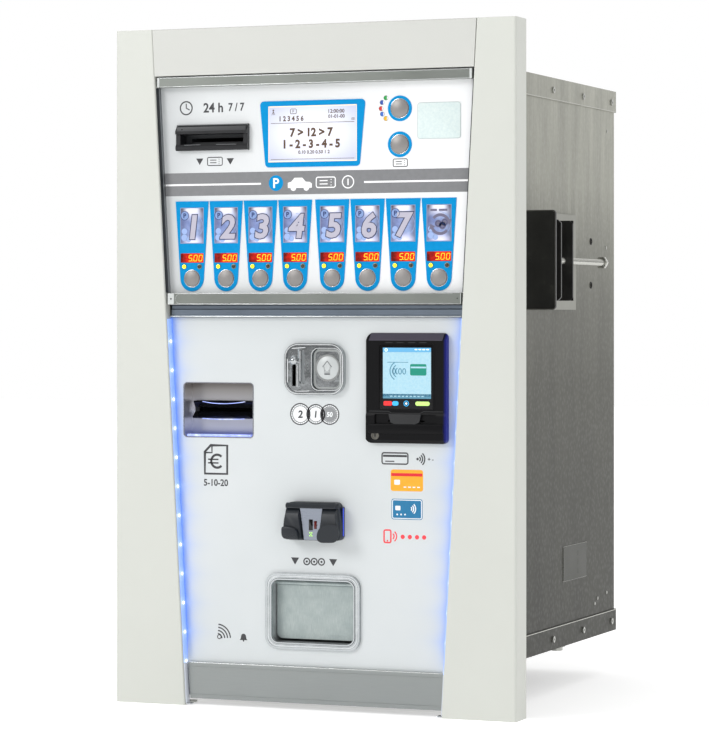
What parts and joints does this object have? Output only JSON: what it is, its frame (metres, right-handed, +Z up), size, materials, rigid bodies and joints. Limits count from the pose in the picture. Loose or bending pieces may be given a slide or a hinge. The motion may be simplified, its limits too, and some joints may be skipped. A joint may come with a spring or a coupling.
{
  "type": "wall-built parking pay station",
  "caption": "Pay station built through a wall: slanted white fascia with display, bay buttons, cash, card and key readers, change cup, and a steel housing behind.",
  "frame": {"origin": "on the wall's face, on the fascia's vertical centre line, level with the fascia's lower edge", "axes": "+X to the right as a user faces the fascia, +Y into the wall, +Z up"},
  "size_m": [0.63, 0.679, 1],
  "materials": {
    "fascia_paint": "satin",
    "zinc_steel": "spangled",
    "anodised_rail": "satin",
    "shelf_profile": "satin",
    "strip_diffuser": "lit",
    "white_acrylic": "gloss",
    "blue_film": "gloss",
    "lit_window": "gloss",
    "red_lens": "gloss",
    "black_plastic": "matte",
    "button_metal": "satin",
    "lcd": "gloss",
    "board": "matte",
    "panel_paint": "satin",
    "stainless": "brushed",
    "black_gloss": "gloss",
    "module_case": "matte",
    "chrome_plate": "polished",
    "white_plastic": "satin",
    "terminal_case": "matte",
    "terminal_lcd": "gloss",
    "reader_case": "matte",
    "reader_plate": "satin",
    "black_steel": "satin",
    "zinc_bolt": "plated",
    "paper": "matte",
    "disc_brass": "satin",
    "box_paint": "satin"
  },
  "bodies": {
    "station": {"left_post": "fascia_paint", "right_post": "fascia_paint", "lintel": "fascia_paint", "mounting_frame": "zinc_steel", "top_rail": "anodised_rail", "mid_rail": "anodised_rail", "light_shelf": "shelf_profile", "bottom_rail": "anodised_rail", "light_strips": "strip_diffuser", "upper_panel": "white_acrylic", "button_plates": "blue_film", "panel_windows": "lit_window", "bay_indicators": "red_lens", "button_switches": "black_plastic", "display_frame": "blue_film", "display_glass": "lcd", "display_module": "board", "ticket_mouth": "black_plastic", "lower_panel": "panel_paint", "bill_recess": "stainless", "bill_mouth": "black_gloss", "bill_validator": "module_case", "coin_bezel": "chrome_plate", "coin_validator": "module_case", "card_terminal": "terminal_case", "terminal_screen": "terminal_lcd", "key_reader": "reader_case", "key_socket": "reader_plate", "change_cup": "chrome_plate", "housing_shell": "zinc_steel", "housing_lid": "zinc_steel", "housing_base": "zinc_steel", "housing_hardware": "zinc_steel", "clamp_plates": "zinc_steel", "clamp_brackets": "black_steel", "ticket_printer": "module_case", "coin_hoppers": "module_case", "cash_box": "box_paint", "electronics": "module_case"},
    "bay_button_1": {"bay_button_1": "button_metal"},
    "bay_button_2": {"bay_button_2": "button_metal"},
    "bay_button_3": {"bay_button_3": "button_metal"},
    "bay_button_4": {"bay_button_4": "button_metal"},
    "bay_button_5": {"bay_button_5": "button_metal"},
    "bay_button_6": {"bay_button_6": "button_metal"},
    "bay_button_7": {"bay_button_7": "button_metal"},
    "bay_button_8": {"bay_button_8": "button_metal"},
    "language_button": {"language_button": "button_metal"},
    "ticket_button": {"ticket_button": "button_metal"},
    "return_button": {"return_button": "white_plastic"},
    "change_flap": {"change_flap": "stainless"},
    "rear_door": {"rear_door": "zinc_steel"},
    "door_lock": {"door_lock": "zinc_bolt"},
    "clamp_jaw_left": {"clamp_jaw_left": "black_steel"},
    "clamp_jaw_right": {"clamp_jaw_right": "black_steel"},
    "clamp_bolt_left": {"clamp_bolt_left": "zinc_bolt"},
    "clamp_bolt_right": {"clamp_bolt_right": "zinc_bolt"},
    "paper_roll": {"paper_roll": "paper"},
    "hopper_disc_left": {"hopper_disc_left": "disc_brass"},
    "hopper_disc_right": {"hopper_disc_right": "disc_brass"}
  },
  "joints": [
    {"name": "bay_button_1_press", "type": "slide", "parent": "station", "child": "bay_button_1", "axis": [0, 1, 0], "range_m": [0, 0.002], "stiffness_N_per_m": 1500, "springref_m": -0.001},
    {"name": "bay_button_2_press", "type": "slide", "parent": "station", "child": "bay_button_2", "axis": [0, 1, 0], "range_m": [0, 0.002], "stiffness_N_per_m": 1500, "springref_m": -0.001},
    {"name": "bay_button_3_press", "type": "slide", "parent": "station", "child": "bay_button_3", "axis": [0, 1, 0], "range_m": [0, 0.002], "stiffness_N_per_m": 1500, "springref_m": -0.001},
    {"name": "bay_button_4_press", "type": "slide", "parent": "station", "child": "bay_button_4", "axis": [0, 1, 0], "range_m": [0, 0.002], "stiffness_N_per_m": 1500, "springref_m": -0.001},
    {"name": "bay_button_5_press", "type": "slide", "parent": "station", "child": "bay_button_5", "axis": [0, 1, 0], "range_m": [0, 0.002], "stiffness_N_per_m": 1500, "springref_m": -0.001},
    {"name": "bay_button_6_press", "type": "slide", "parent": "station", "child": "bay_button_6", "axis": [0, 1, 0], "range_m": [0, 0.002], "stiffness_N_per_m": 1500, "springref_m": -0.001},
    {"name": "bay_button_7_press", "type": "slide", "parent": "station", "child": "bay_button_7", "axis": [0, 1, 0], "range_m": [0, 0.002], "stiffness_N_per_m": 1500, "springref_m": -0.001},
    {"name": "bay_button_8_press", "type": "slide", "parent": "station", "child": "bay_button_8", "axis": [0, 1, 0], "range_m": [0, 0.002], "stiffness_N_per_m": 1500, "springref_m": -0.001},
    {"name": "language_button_press", "type": "slide", "parent": "station", "child": "language_button", "axis": [0, 1, 0], "range_m": [0, 0.002], "stiffness_N_per_m": 1500, "springref_m": -0.001},
    {"name": "ticket_button_press", "type": "slide", "parent": "station", "child": "ticket_button", "axis": [0, 1, 0], "range_m": [0, 0.002], "stiffness_N_per_m": 1500, "springref_m": -0.001},
    {"name": "return_button_press", "type": "slide", "parent": "station", "child": "return_button", "axis": [0, 1, 0], "range_m": [0, 0.003], "stiffness_N_per_m": 800, "springref_m": -0.001},
    {"name": "change_flap_swing", "type": "hinge", "parent": "station", "child": "change_flap", "pos_m": [-0.0026, -0.015, 0.184], "axis": [1, 0, 0], "range_deg": [0, 60]},
    {"name": "rear_door_swing", "type": "hinge", "parent": "station", "child": "rear_door", "pos_m": [-0.256, 0.613, 0.5], "axis": [0, 0, 1], "range_deg": [0, 110]},
    {"name": "door_lock_turn", "type": "hinge", "parent": "rear_door", "child": "door_lock", "pos_m": [0.215, 0.6, 0.5], "axis": [0, 1, 0], "range_deg": [0, 90]},
    {"name": "clamp_jaw_left_slide", "type": "slide", "parent": "station", "child": "clamp_jaw_left", "axis": [0, -1, 0], "range_m": [-0.0155, 0.125]},
    {"name": "clamp_bolt_left_turn", "type": "hinge", "parent": "clamp_jaw_left", "child": "clamp_bolt_left", "pos_m": [-0.295, 0.3, 0.658], "axis": [0, -1, 0], "range_deg": [-3120, 28800]},
    {"name": "clamp_jaw_right_slide", "type": "slide", "parent": "station", "child": "clamp_jaw_right", "axis": [0, -1, 0], "range_m": [-0.0155, 0.125]},
    {"name": "clamp_bolt_right_turn", "type": "hinge", "parent": "clamp_jaw_right", "child": "clamp_bolt_right", "pos_m": [0.295, 0.3, 0.658], "axis": [0, -1, 0], "range_deg": [-3120, 28800]},
    {"name": "paper_roll_spin", "type": "hinge", "parent": "station", "child": "paper_roll", "pos_m": [-0.1625, 0.182, 0.85], "axis": [1, 0, 0], "continuous": true},
    {"name": "hopper_disc_left_spin", "type": "hinge", "parent": "station", "child": "hopper_disc_left", "pos_m": [-0.053, 0.142, 0.226], "axis": [0, 0, 1], "continuous": true},
    {"name": "hopper_disc_right_spin", "type": "hinge", "parent": "station", "child": "hopper_disc_right", "pos_m": [0.053, 0.142, 0.226], "axis": [0, 0, 1], "continuous": true}
  ],
  "couplings": [
    {"joint": "clamp_jaw_left_slide", "follows": "clamp_bolt_left_turn", "m_per_rad": 0.00023873},
    {"joint": "clamp_jaw_right_slide", "follows": "clamp_bolt_right_turn", "m_per_rad": 0.00023873}
  ]
}
